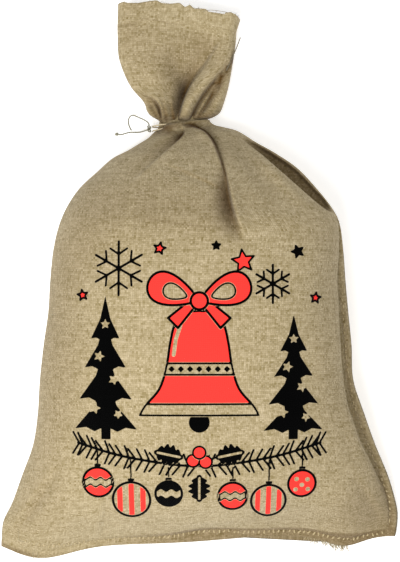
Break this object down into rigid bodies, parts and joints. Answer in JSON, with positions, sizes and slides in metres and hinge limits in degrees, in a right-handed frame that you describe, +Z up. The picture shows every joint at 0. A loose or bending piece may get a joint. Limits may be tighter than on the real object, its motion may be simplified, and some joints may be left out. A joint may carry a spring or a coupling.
{
  "type": "burlap sack",
  "caption": "Filled burlap sack lying on its back, tied at the neck with twine, the gathered mouth folded above the tie.",
  "frame": {"origin": "on the surface that the sack lies on, below the centre of its bounding box", "axes": "+Y from the bottom seam to the mouth, +Z up out of the printed front, +X to the right as the front is seen with the mouth up"},
  "size_m": [0.591, 0.8246, 0.252],
  "materials": {
    "burlap": "coarse plain-weave natural jute, matt, with a flat print in black and red ink on its front",
    "twine": "thin twisted jute twine, matt",
    "frayed_jute": "loose jute threads, matt"
  },
  "bodies": {
    "root": {"sack": "burlap", "tie_wrap": "twine", "tie_knot": "twine", "tie_tail": "twine", "tie_curl": "twine", "tie_end": "twine", "bottom_fray": "frayed_jute"}
  },
  "joints": []
}
